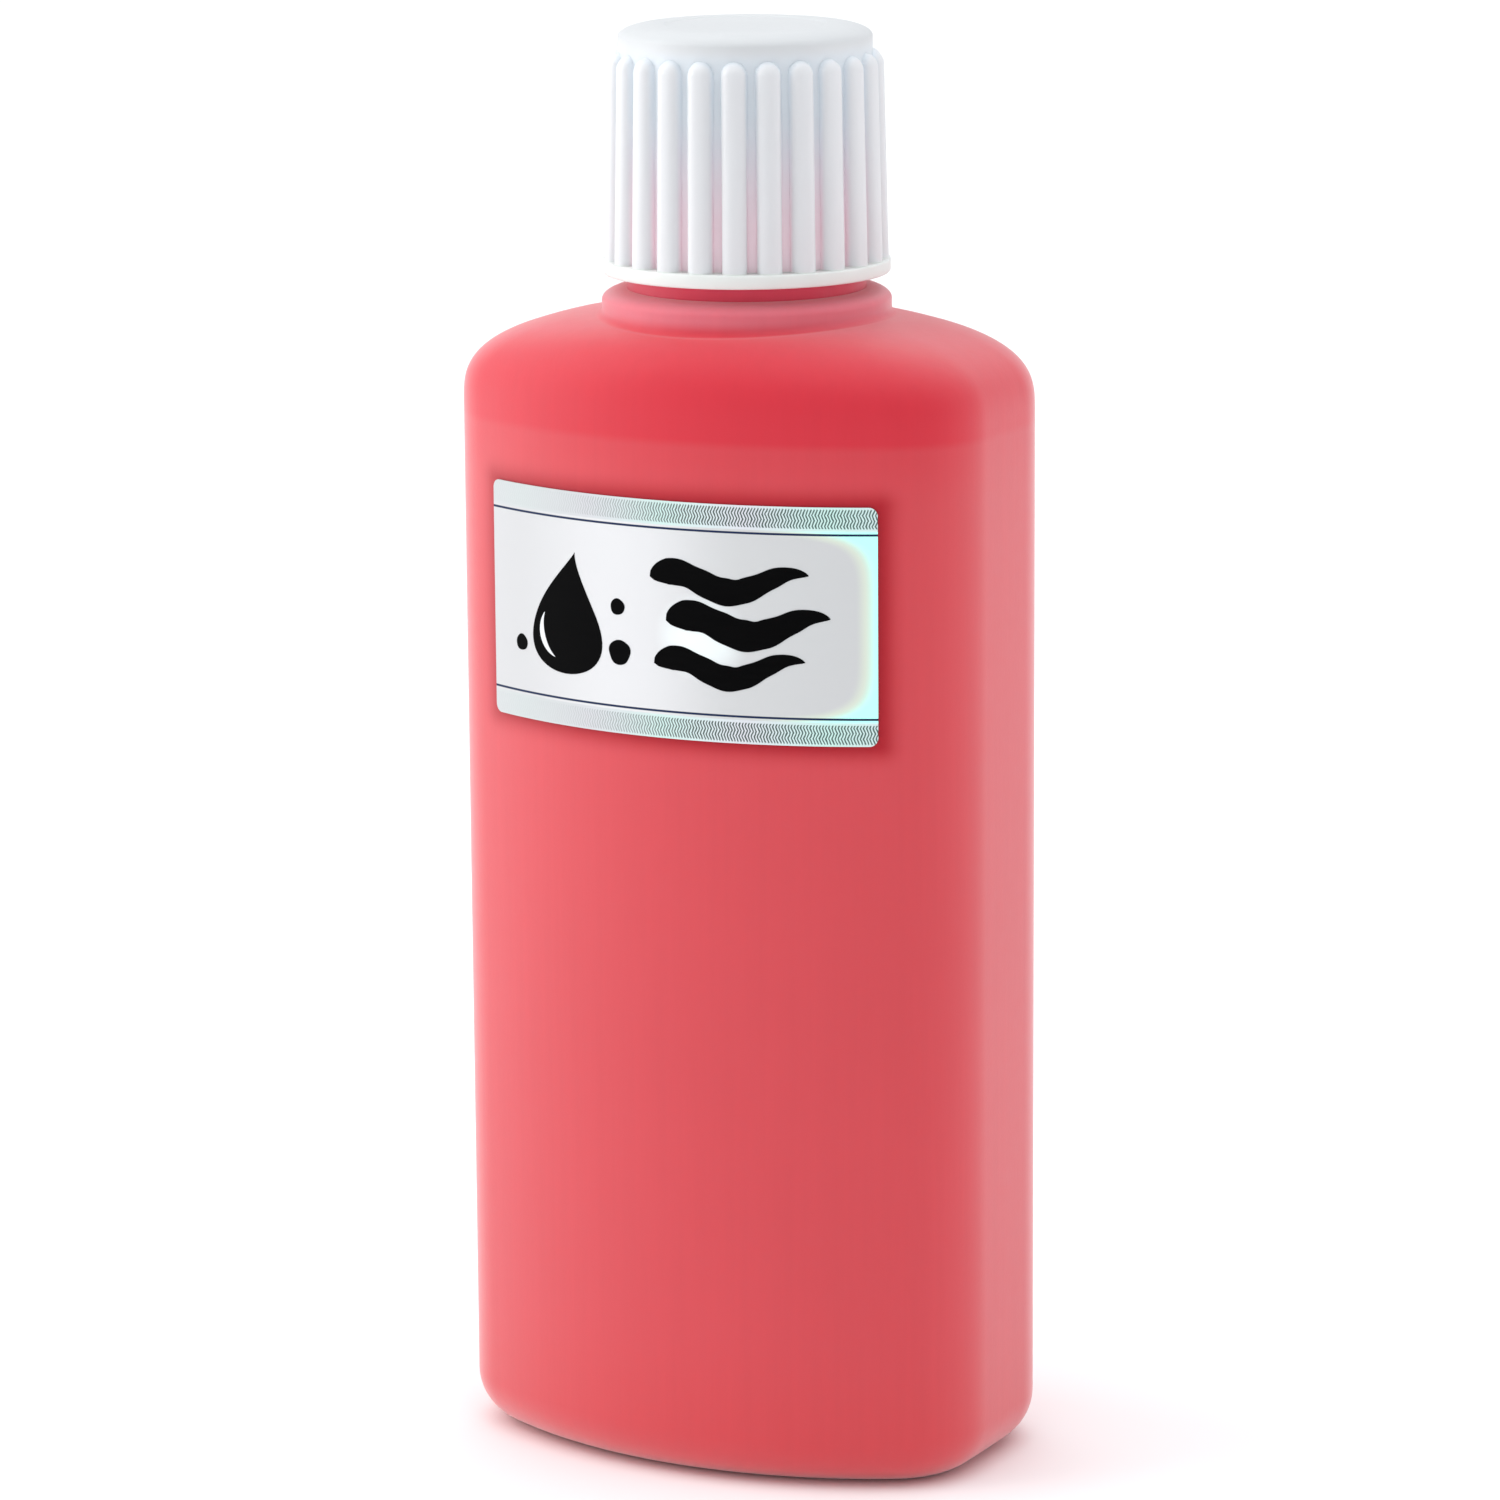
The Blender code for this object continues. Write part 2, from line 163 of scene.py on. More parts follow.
# Painted light: the flange's top painted brighter and greener, against the red light bounced onto
# it.
FLANGE_PAINTED_LIGHT = (0.76, 0.80, 0.77, 1.0)
INSERT_WHITE = ((0.80, 0.80, 0.77, 1.0), (0.88, 0.87, 0.84, 1.0))
FOAM_WHITE = ((0.70, 0.70, 0.67, 1.0), (0.84, 0.84, 0.81, 1.0))
RED_INK = ((0.52, 0.008, 0.02, 1.0), (0.66, 0.02, 0.035, 1.0))
FILM_SILVER = ((0.72, 0.725, 0.74, 1.0), (0.76, 0.765, 0.775, 1.0))
# Painted shade on the film: darker towards its left end and right of the middle.
FILM_LEFT_SHADE = (0.60, 0.605, 0.615, 1.0)
FILM_RIGHT_SHADE = (0.63, 0.64, 0.645, 1.0)
FILM_RIM = (0.80, 0.93, 0.72, 1.0)
FILM_EDGE = (0.55, 0.98, 0.92, 1.0)
FILM_SPOT = (0.92, 1.0, 1.0, 1.0)
# Painted glow: light emitted by the turquoise edge of the film's frame.
FILM_PAINTED_GLOW = (0.03, 0.30, 0.24, 1.0)
BAND_PAPER = (0.55, 0.555, 0.565, 1.0)
BAND_TINTS = ((0.64, 0.90, 0.84, 1.0), (0.76, 0.78, 0.84, 1.0))
BAND_STROKES = (0.07, 0.095, 0.09, 1.0)
RULE_DARK = (0.0, 0.012, 0.06, 1.0)
PRINT_BLACK = (0.0008, 0.0008, 0.001)
PRINT_PALE = (0.78, 0.80, 0.82)
FLOOR_WHITE = ((0.95, 0.95, 0.95, 1.0), (0.965, 0.965, 0.965, 1.0))

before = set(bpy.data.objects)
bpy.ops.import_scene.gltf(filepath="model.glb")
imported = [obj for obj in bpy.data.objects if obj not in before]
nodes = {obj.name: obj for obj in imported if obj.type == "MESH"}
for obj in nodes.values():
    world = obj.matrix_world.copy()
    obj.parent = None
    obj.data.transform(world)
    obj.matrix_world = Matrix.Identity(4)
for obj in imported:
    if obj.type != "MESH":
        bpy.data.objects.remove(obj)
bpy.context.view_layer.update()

HALF_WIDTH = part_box("bottle_body")[1].x
HALF_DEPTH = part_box("bottle_body")[1].y
NECK_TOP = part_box("bottle_body")[1].z
CAP_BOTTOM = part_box("cap_shell")[0].z
TOTAL_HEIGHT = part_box("cap_shell")[1].z
FLANGE_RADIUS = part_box("cap_shell")[1].x
INK_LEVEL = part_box("ink")[1].z
INSERT_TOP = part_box("pouring_insert")[1].z
INSERT_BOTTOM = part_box("pouring_insert")[0].z
INSERT_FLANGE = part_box("pouring_insert")[1].x
LINER_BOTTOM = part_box("cap_liner")[0].z
LINER_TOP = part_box("cap_liner")[1].z
LINER_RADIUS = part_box("cap_liner")[1].x
LABEL_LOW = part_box("front_label")[0].z
LABEL_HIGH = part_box("front_label")[1].z
LABEL_MIDDLE = (LABEL_LOW + LABEL_HIGH) / 2
LABEL_HALF_HEIGHT = (LABEL_HIGH - LABEL_LOW) / 2
LABEL_OUTER = FRONT_ARC - HALF_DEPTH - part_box("front_label")[0].y
LABEL_FILM = 0.15 * MM
# Half the label's width: first straight across, then along its arc.
LABEL_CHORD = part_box("back_label")[1].x
LABEL_HALF_WIDTH = LABEL_OUTER * math.asin(LABEL_CHORD / LABEL_OUTER)
FRONT_LABEL_END = LABEL_OUTER * math.asin(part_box("front_label")[1].x / LABEL_OUTER)
FRONT_SHIFT = FRONT_LABEL_END - LABEL_HALF_WIDTH


# ---- mesh helpers ----
def mesh_object(name, points, faces, body, finish, replaced=()):
    """Makes a smooth-shaded piece, gives it its finish, and lets it ride on its body."""
    mesh = bpy.data.meshes.new(name)
    mesh.from_pydata([tuple(p) for p in points], [], faces)
    mesh.validate()
    mesh.materials.append(finish)
    mesh.shade_smooth()
    mesh.set_sharp_from_angle(angle=SHARP_ANGLE)
    made = bpy.data.objects.new(name, mesh)
    bpy.context.scene.collection.objects.link(made)
    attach(made, body)
    if replaced:
        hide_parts(*replaced)
    return made


def loft_faces(rows, count):
    """Faces of a closed skin through rings of count points, with a fan at each end."""
    faces = []
    for row in range(rows - 1):
        low = row * count
        for i in range(count):
            after = (i + 1) % count
            faces.append((low + i, low + after, low + count + after, low + count + i))
    first = rows * count
    last = (rows - 1) * count
    for i in range(count):
        after = (i + 1) % count
        faces.append((first, after, i))
        faces.append((first + 1, last + i, last + after))
    return faces


def loft(name, rings, body, finish, replaced=()):
    """Closed piece through rings of equal length; each end is closed round its ring's middle."""
    rings = [np.asarray(points, float) for points in rings]
    points = np.vstack(rings + [rings[0].mean(0)[None], rings[-1].mean(0)[None]])
    faces = loft_faces(len(rings), len(rings[0]))
    return mesh_object(name, points, faces, body, finish, replaced)


def ring(radius, height, turns):
    """Points round the axis; radius and height may each be one number or one for every turn."""
    up = np.broadcast_to(height, turns.shape)
    return np.stack([radius * np.cos(turns), radius * np.sin(turns), up], -1)


def circle(radius, height, count=AROUND):
    """Round ring of count points."""
    return ring(radius, height, np.arange(count) * 2 * math.pi / count)


def rounded(corners, steps=5):
    """Profile of (radius, height, fillet) corners with each fillet drawn as an arc."""
    path = [Vector(corners[0][:2])]
    for before, here, after in zip(corners, corners[1:], corners[2:]):
        corner = Vector(here[:2])
        if here[2] <= 0:
            path.append(corner)
            continue
        back = (Vector(before[:2]) - corner).normalized()
        ahead = (Vector(after[:2]) - corner).normalized()
        half = back.angle(ahead) / 2
        centre = corner + (back + ahead).normalized() * here[2] / math.sin(half)
        start = corner + back * here[2] / math.tan(half) - centre
        end = corner + ahead * here[2] / math.tan(half) - centre
        for i in range(steps + 1):
            share = i / steps
            sweep = start.angle(end)
            blend = start * math.sin((1 - share) * sweep) + end * math.sin(share * sweep)
            path.append(centre + blend / math.sin(sweep))
    path.append(Vector(corners[-1][:2]))
    return path


# ---- bottle ----
def corner_centre():
    """Centre of the corner arc at +X, -Y, tangent inside the front arc and the side arc."""
    front = Vector((0.0, FRONT_ARC - HALF_DEPTH))
    side = Vector((HALF_WIDTH - SIDE_ARC, 0.0))
    to_front = FRONT_ARC - CORNER_ARC
    to_side = SIDE_ARC - CORNER_ARC
    between = side - front
    along = (to_front**2 - to_side**2 + between.length_squared) / (2 * between.length)
    off = math.sqrt(to_front**2 - along**2)
    unit = between.normalized()
    return front + along * unit + off * Vector((-unit.y, unit.x))


def reach(direction, centre, radius):
    """Distance from the axis, in a unit direction, to the far side of a circle round centre."""
    along = direction.dot(centre)
    return along + math.sqrt(along**2 - centre.length_squared + radius**2)


def section_radius(angle, inset):
    """Distance from the axis to the oval outline, moved inwards by inset."""
    direction = Vector((abs(math.cos(angle)), -abs(math.sin(angle))))
    front = Vector((0.0, FRONT_ARC - HALF_DEPTH))
    side = Vector((HALF_WIDTH - SIDE_ARC, 0.0))
    corner = corner_centre()
    front_end = front + (corner - front).normalized() * (FRONT_ARC - inset)
    side_end = side + (corner - side).normalized() * (SIDE_ARC - inset)
    slope = math.atan2(direction.y, direction.x)
    if slope < math.atan2(front_end.y, front_end.x):
        return reach(direction, front, FRONT_ARC - inset)
    if slope > math.atan2(side_end.y, side_end.x):
        return reach(direction, side, SIDE_ARC - inset)
    return reach(direction, corner, CORNER_ARC - inset)


TURNS = np.arange(AROUND) * 2 * math.pi / AROUND


def oval(inset, height):
    """Ring with the body's outline, moved inwards by inset."""
    return ring(np.array([section_radius(a, inset) for a in TURNS]), height, TURNS)


def shoulder(share, inset, radius, top):
    """Ring between the oval wall (share 0) and the round neck (share 1)."""
    rise = (1 - (1 - share) ** SHOULDER_SLOPE) ** (1 / SHOULDER_ROUND)
    wall = np.array([section_radius(a, inset) for a in TURNS])
    out = (1 - share) * wall + share * radius
    end = top - SHOULDER_DROP * np.sin(TURNS) ** 2
    return ring(out, SHOULDER_START + rise * (end - SHOULDER_START), TURNS)


def heel(radius, inset, floor, steps):
    """Quarter-round edge from the standing ring up to the wall."""
    rings = []
    for i in range(steps + 1):
        turn = QUARTER * i / steps
        inwards = inset + radius * (1 - math.sin(turn))
        rings.append(oval(inwards, floor + radius * (1 - math.cos(turn))))
    return rings


def base_rings(floor):
    """Shallow push-up in the middle of the base, easing into the flat standing ring."""
    rings = [oval(PUSH_UP_FLAT, floor + PUSH_UP)]
    for i in range(9):
        share = i / 8
        ease = share * share * (3 - 2 * share)
        inset = PUSH_UP_EDGE + PUSH_UP_SLOPE * (1 - share)
        rings.append(oval(inset, floor + PUSH_UP * (1 - ease)))
    return rings


def shoulder_and_fillet():
    """Shoulder up to a small hollow fillet at the foot of the round collar."""
    wall = np.array([section_radius(a, 0.0) for a in TURNS])
    end_share = 1 - COLLAR_FILLET / (wall - COLLAR_RADIUS)
    rows = 40
    rings = [
        shoulder((i / rows) ** SHOULDER_CROWDING * end_share, 0.0, COLLAR_RADIUS, SHOULDER_END)
        for i in range(rows + 1)
    ]
    end_height = rings[-1][:, 2]
    for i in range(1, 9):
        turn = QUARTER * i / 8
        out = COLLAR_RADIUS + COLLAR_FILLET * (1 - math.sin(turn))
        rings.append(ring(out, end_height + COLLAR_FILLET * (1 - math.cos(turn)), TURNS))
    return rings


def collar_rings():
    """Round upper edge of the collar."""
    rings = []
    for i in range(13):
        turn = QUARTER * i / 12
        radius = COLLAR_RADIUS - COLLAR_ROUND_IN * (1 - math.cos(turn))
        rings.append(circle(radius, COLLAR_TOP - COLLAR_ROUND_DOWN * (1 - math.sin(turn))))
    return rings


def inner_shoulder_rings():
    """Inside of the shoulder, from the neck's bore down to the wall."""
    rows = 20
    bore = COLLAR_RADIUS - COLLAR_WALL
    top = SHOULDER_END - COLLAR_THICK_DOWN
    return [
        shoulder((i / rows) ** SHOULDER_CROWDING, WALL, bore, top) for i in range(rows, -1, -1)
    ]


def make_bottle(finish):
    """The whole wall as one skin: up the outside, over the neck's lip and down the inside."""
    rings = base_rings(0.0)
    rings += heel(HEEL, 0.0, 0.0, 16)
    wall_rows = 12
    for i in range(1, wall_rows):
        rings.append(oval(0.0, HEEL + (SHOULDER_START - HEEL) * i / wall_rows))
    rings += shoulder_and_fillet()
    rings += collar_rings()
    neck = rounded(
        [
            (COLLAR_RADIUS - COLLAR_ROUND_IN, COLLAR_TOP, 0),
            (BEAD_RADIUS, COLLAR_TOP, 0.04 * MM),
            (BEAD_RADIUS, BEAD_TOP, 0.4 * MM),
            (NECK_RADIUS, BEAD_TOP + 0.1 * MM, 0.3 * MM),
            (NECK_RADIUS, NECK_TOP, 0.4 * MM),
            (NECK_BORE, NECK_TOP, 0.3 * MM),
            (NECK_BORE, COLLAR_TOP - COLLAR_THICK_DOWN, 0),
        ]
    )
    rings += [circle(radius, height) for radius, height in neck[1:]]
    rings += inner_shoulder_rings()
    rings += heel(HEEL - WALL, WALL, WALL, 10)[::-1]
    rings += base_rings(WALL)[::-1]
    loft("bottle", rings, "bottle", finish, ["bottle_body"])


def make_thread(name, wall, start, inward, body, finish):
    """Helical ridge with a rounded crest, fading into the wall at both ends."""
    way = -1 if inward else 1
    steps = round(THREAD_TURNS * THREAD_STEPS)
    fade = THREAD_STEPS / 6
    section = list(THREAD_SECTION)
    section += [(-along, out) for along, out in section[::-1]]
    rings = []
    for i in range(steps + 1):
        turn = 2 * math.pi * i / THREAD_STEPS
        middle = start + PITCH * i / THREAD_STEPS
        grown = min(1.0, i / fade, (steps - i) / fade)
        grown = grown * grown * (3 - 2 * grown)
        outline = []
        for along, out in section:
            raised = out * grown - 0.1 * (1 - grown) if out > 0 else out
            radius = wall + way * raised * MM
            height = middle + along * MM
            outline.append((radius * math.cos(turn), radius * math.sin(turn), height))
        rings.append(outline if inward else outline[::-1])
    loft(name, rings, body, finish)


# ---- cap ----
def groove_radius(height):
    """Outer radius of the cap between its ribs."""
    edge = TOTAL_HEIGHT - CAP_EDGE_DOWN
    if height > edge:
        share = min(1.0, (height - edge) / CAP_EDGE_DOWN)
        return CAP_HEAD_RADIUS - CAP_EDGE_IN * (1 - math.sqrt(1 - share * share))
    foot = CAP_BOTTOM + FLANGE_HEIGHT
    share = (height - foot) / (edge - foot)
    return CAP_FOOT_RADIUS + (CAP_HEAD_RADIUS - CAP_FOOT_RADIUS) * share


def ribbed_radius(height, turns):
    """Radius all round the cap: a full, rounded rib every pitch, joined to the wall by a fillet."""
    wall = groove_radius(height)
    pitch = 2 * math.pi / RIBS
    off = (turns - RIB_PHASE + pitch / 2) % pitch - pitch / 2
    rise = (height - CAP_BOTTOM) / (RIB_TOP - CAP_BOTTOM)
    crest = RIB_CREST_FOOT + (RIB_CREST_TOP - RIB_CREST_FOOT) * rise
    into_dome = max(0.0, height - (RIB_TOP - RIB_RADIUS))
    half = math.sqrt(max(0.0, RIB_RADIUS**2 - into_dome**2))
    across = np.abs(crest * np.sin(off))
    if half > 0:
        share = np.clip(1 - (across / half) ** RIB_SQUARE, 0.0, 1.0) ** (1 / RIB_SQUARE)
    else:
        share = np.zeros(len(turns))
    rib = crest - RIB_RADIUS + half * share
    gap = np.clip((rib - wall) / RIB_FILLET, -1.0, 1.0)
    lift = np.where(np.abs(gap) < 1, RIB_FILLET * (gap + 1) ** 2 / 4, np.maximum(rib - wall, 0.0))
    return wall + lift


def cap_top_rings(count):
    """Shallow dish in the cap's top, its rim, and the rounded edge down to the ribs."""
    top = rounded(
        [
            (0.2 * MM, TOTAL_HEIGHT - DISH_DEPTH, 0),
            (DISH_RADIUS, TOTAL_HEIGHT - DISH_DEPTH, 0.7 * MM),
            (DISH_RADIUS + DISH_RIM, TOTAL_HEIGHT, 0.3 * MM),
            (CAP_HEAD_RADIUS - CAP_EDGE_IN + 0.01 * MM, TOTAL_HEIGHT, 0),
        ]
    )
    rings = [circle(radius, height, count) for radius, height in top]
    edge_rows = 14
    for i in range(1, edge_rows + 1):
        height = TOTAL_HEIGHT - CAP_EDGE_DOWN * (1 - math.cos(QUARTER * i / edge_rows))
        rings.append(circle(groove_radius(height), height, count))
    return rings


def cap_inside_rings(foot, count):
    """Flange's edge and underside, the relief in the mouth, the bore, and the ceiling."""
    under = rounded(
        [
            (CAP_FOOT_RADIUS, foot, 0),
            (FLANGE_RADIUS, foot, 0.2 * MM),
            (FLANGE_RADIUS, CAP_BOTTOM, 0.25 * MM),
            (CAP_RELIEF, CAP_BOTTOM, 0.2 * MM),
            (CAP_RELIEF, CAP_BOTTOM + CAP_RELIEF_TOP, 0.1 * MM),
            (CAP_BORE, CAP_BOTTOM + CAP_BORE_START, 0.2 * MM),
            (CAP_BORE, CAP_CEILING, 0.6 * MM),
            (0.2 * MM, CAP_CEILING, 0),
        ]
    )
    return [circle(radius, height, count) for radius, height in under[1:]]


def make_cap(finish):
    """The whole cap as one skin: dish, edge, ribs, flange and inside."""
    count = RIBS * COLUMNS_PER_RIB
    turns = np.arange(count) * 2 * math.pi / count
    foot = CAP_BOTTOM + FLANGE_HEIGHT
    dome_base = RIB_TOP - RIB_RADIUS
    heights = [RIB_TOP + 0.3 * MM]
    heights += [dome_base + RIB_RADIUS * math.sin(QUARTER * (1 - i / 24)) for i in range(25)]
    heights += [dome_base + (foot - dome_base) * (i / 16) for i in range(1, 17)]
    rings = cap_top_rings(count)
    rings += [ring(ribbed_radius(height, turns), height, turns) for height in heights]
    flange_top = np.maximum(ribbed_radius(foot, turns), FLANGE_RADIUS - 0.25 * MM)
    rings.append(ring(flange_top, foot, turns))
    rings += cap_inside_rings(foot, count)
    loft("cap", rings[::-1], "cap", finish, ["cap_shell"])


def make_liner(finish):
    """Plain disc with rounded edges."""
    corners = [
        (0.3 * MM, LINER_BOTTOM, 0),
        (LINER_RADIUS, LINER_BOTTOM, 0.15 * MM),
        (LINER_RADIUS, LINER_TOP, 0.15 * MM),
        (0.3 * MM, LINER_TOP, 0),
    ]
    rings = [circle(radius, height, LINER_AROUND) for radius, height in rounded(corners)]
    loft("liner", rings, "liner", finish, ["cap_liner"])


def insert_corners():
    """Profile of the insert: flange, skirt with two sealing rings, floor and spout."""
    seat = INSERT_TOP - INSERT_SEAT
    floor = INSERT_BOTTOM + INSERT_FLOOR
    inner = INSERT_SKIRT - INSERT_WALL
    ring_out = INSERT_SKIRT + SEAL_RING
    return [
        (inner, INSERT_TOP - 1.0 * MM, 0),
        (inner, INSERT_TOP, 0.25 * MM),
        (INSERT_FLANGE, INSERT_TOP, 0.25 * MM),
        (INSERT_FLANGE, seat, 0.1 * MM),
        (INSERT_SKIRT, seat, 0.1 * MM),
        (INSERT_SKIRT, seat - 2.0 * MM, 0.1 * MM),
        (ring_out, seat - 2.6 * MM, 0.15 * MM),
        (INSERT_SKIRT, seat - 3.2 * MM, 0.1 * MM),
        (INSERT_SKIRT, seat - 5.0 * MM, 0.1 * MM),
        (ring_out, seat - 5.6 * MM, 0.15 * MM),
        (INSERT_SKIRT, seat - 6.2 * MM, 0.1 * MM),
        (INSERT_SKIRT - 0.5 * MM, INSERT_BOTTOM, 0.1 * MM),
        (inner, INSERT_BOTTOM, 0.1 * MM),
        (inner, floor - INSERT_WALL, 0.2 * MM),
        (SPOUT_BORE + 0.6 * MM, floor - INSERT_WALL, 0.2 * MM),
        (SPOUT_BORE, INSERT_TOP - 3.0 * MM, 0.3 * MM),
        (SPOUT_BORE, INSERT_TOP - 0.5 * MM, 0.15 * MM),
        (SPOUT_TIP, INSERT_TOP - 0.5 * MM, 0.2 * MM),
        (SPOUT_FOOT, floor, 0.5 * MM),
        (inner, floor, 0.4 * MM),
        (inner, INSERT_TOP - 1.0 * MM, 0),
    ]


def make_insert(finish):
    """Pouring insert, turned from one closed profile."""
    profile = rounded(insert_corners())[:-1]
    points = np.vstack([circle(radius, height, INSERT_AROUND) for radius, height in profile])
    rows = len(profile)
    faces = []
    for row in range(rows):
        low = row * INSERT_AROUND
        high = ((row + 1) % rows) * INSERT_AROUND
        for i in range(INSERT_AROUND):
            after = (i + 1) % INSERT_AROUND
            faces.append((low + after, low + i, high + i, high + after))
    mesh_object("insert", points, faces, "bottle", finish, ["pouring_insert"])


# ---- labels ----
def on_label(along, up, height, facing):
    """Point on the label's arc: along the film, up from its middle, and height above its face."""
    radius = LABEL_OUTER + height
    shift = FRONT_SHIFT if facing < 0 else 0.0
    turn = (along + shift) / LABEL_OUTER
    y = facing * (radius * math.cos(turn) - (FRONT_ARC - HALF_DEPTH))
    return (-facing * radius * math.sin(turn), y, LABEL_MIDDLE + up)


def label_columns():
    """Positions along the film, close together in the round corners, with each one's trim."""
    straight = LABEL_HALF_WIDTH - LABEL_CORNER
    corner = [straight + LABEL_CORNER * math.sin(QUARTER * i / 8) for i in range(9)]
    middle = [-straight + 2 * straight * i / 64 for i in range(1, 64)]
    for along in [-x for x in corner[::-1]] + middle + corner:
        past = max(0.0, abs(along) - straight)
        trim = LABEL_CORNER - math.sqrt(max(0.0, LABEL_CORNER**2 - past**2))
        yield along, min(trim, 0.97 * LABEL_CORNER)


def make_label(name, facing, finish, replaced):
    """Film wrapped on the front (facing -1) or the back (facing 1), with its own lengths as UV."""
    rings = []
    flat = []
    for along, trim in label_columns():
        top = LABEL_HALF_HEIGHT - trim
        section = [(top, -LABEL_FILM), (top, 0.0), (-top, 0.0), (-top, -LABEL_FILM)]
        rings.append([on_label(along, up, height, facing) for up, height in section])
        flat += [(along / MM, up / MM) for up, _ in section]
    made = loft(name, rings, "bottle", finish, [replaced])
    layer = made.data.uv_layers.new(name="film_mm")
    flat += [flat[0], flat[-1]]
    for loop in made.data.loops:
        layer.data[loop.index].uv = flat[loop.vertex_index]


def stroke(name, route, widths, facing, finish):
    """Printed brush stroke: a thin raised band of changing width along a smooth route, in mm."""
    rings = []
    for i, (x, y) in enumerate(route):
        before = route[max(0, i - 1)]
        after = route[min(len(route) - 1, i + 1)]
        away = Vector((after[0] - before[0], after[1] - before[1])).normalized()
        side = Vector((-away.y, away.x)) * widths[i] / 2
        section = [(share, PRINT_HEIGHT) for share in (-1, -0.5, 0, 0.5, 1)]
        section += [(share, PRINT_ROOT) for share in (1, -1)]
        outline = []
        for share, height in section:
            along = (x + side.x * share) * MM
            outline.append(on_label(along, (y + side.y * share) * MM, height, facing))
        rings.append(outline)
    return loft(name, rings, "bottle", finish)


def blot(name, outline, facing, finish):
    """Printed blot: a thin raised patch with the given outline, in mm."""
    outline = [Vector(p) for p in outline]
    centre = sum(outline, Vector((0, 0))) / len(outline)
    rings = []
    levels = [(0.02, PRINT_ROOT), (1.0, PRINT_ROOT)]
    levels += [(1.0 - 0.14 * i, PRINT_HEIGHT) for i in range(7)]
    for share, height in levels:
        patch = [centre + (p - centre) * share for p in outline]
        rings.append([on_label(p.x * MM, p.y * MM, height, facing) for p in patch])
    loft(name, rings, "bottle", finish)


def drop_outline(x, y, width, height, lean):
    """Teardrop with its point up, leaning to one side."""
    count = 72
    outline = []
    for i in range(count):
        turn = 2 * math.pi * i / count
        across = width / 2 * math.sin(turn) * math.sin(turn / 2) ** 1.6 * 1.3
        up = height / 2 * math.cos(turn)
        tip = max(0.0, up / (height / 2)) ** 2
        outline.append((x - across + lean * tip, y + up))
    return outline


def round_outline(x, y, radius, wobble, seed):
    """Splash: a circle with an uneven edge."""
    outline = []
    for i in range(48):
        turn = 2 * math.pi * i / 48
        size = radius * (1 + wobble * math.sin(3 * turn + seed) + wobble / 2 * math.sin(5 * turn))
        outline.append((x + size * math.cos(turn), y + size * math.sin(turn)))
    return outline


def wave_route(x0, x1, y, swing, tilt, turns):
    """Route of a wave from x0 to x1, rising by tilt on the way."""
    count = 60
    route = []
    for i in range(count + 1):
        share = i / count
        up = y + swing * math.sin(turns * 2 * math.pi * share + 0.4) + tilt * share
        route.append((x0 + (x1 - x0) * share, up))
    return route


def brush_widths(count, full, rise, tail):
    """Width of a stroke pressed down at its start and lifted away at its end."""
    widths = []
    for i in range(count):
        share = i / (count - 1)
        press = min(1.0, math.sqrt(share / rise)) if share < rise else 1.0
        lift = 1.0 if share < tail else max(0.0, (1 - share) / (1 - tail)) ** 0.6
        ripple = 1 + 0.05 * math.sin(17 * share) + 0.03 * math.sin(41 * share)
        widths.append(max(0.06, full * press * lift * ripple))
    return widths


def make_front_print(ink, highlight):
    """Generic motif: a drop of ink with splashes, and waves drawn with a broad brush.

    Places and sizes are in mm from the label's middle."""
    blot("print_drop", drop_outline(-11.8, -0.4, 10.6, 12.8, 1.3), -1, ink)
    blot("print_splash_1", round_outline(-4.9, -3.8, 1.3, 0.04, 0.3), -1, ink)
    blot("print_splash_2", round_outline(-5.1, 0.9, 0.85, 0.03, 1.9), -1, ink)
    blot("print_splash_3", round_outline(-18.3, -4.3, 0.85, 0.03, 2.6), -1, ink)
    crescent = []
    for i in range(25):
        turn = math.radians(150 + 95 * i / 24)
        crescent.append((-12.0 + 3.2 * math.cos(turn), -2.3 + 3.2 * math.sin(turn)))
    shine = [0.62 * math.sin(math.pi * i / 24) + 0.05 for i in range(25)]
    shine_piece = stroke("print_shine", crescent, shine, -1, highlight)
    shine_piece.location.y = -SHINE_RAISED
    for name, y, full, x0, x1 in (
        ("print_wave_1", 4.0, 2.7, -1.2, 15.8),
        ("print_wave_2", -0.4, 3.1, 0.6, 18.0),
        ("print_wave_3", -4.9, 2.5, -0.8, 15.4),
    ):
        route = wave_route(x0, x1, y, 1.0, 0.5, 1.3)
        stroke(name, route, brush_widths(len(route), full, 0.12, 0.62), -1, ink)


def make_back_print(ink):
    """A small drop in the middle of the back label."""
    blot("print_back_drop", drop_outline(0.0, 0.2, 6.2, 8.4, 0.7), 1, ink)


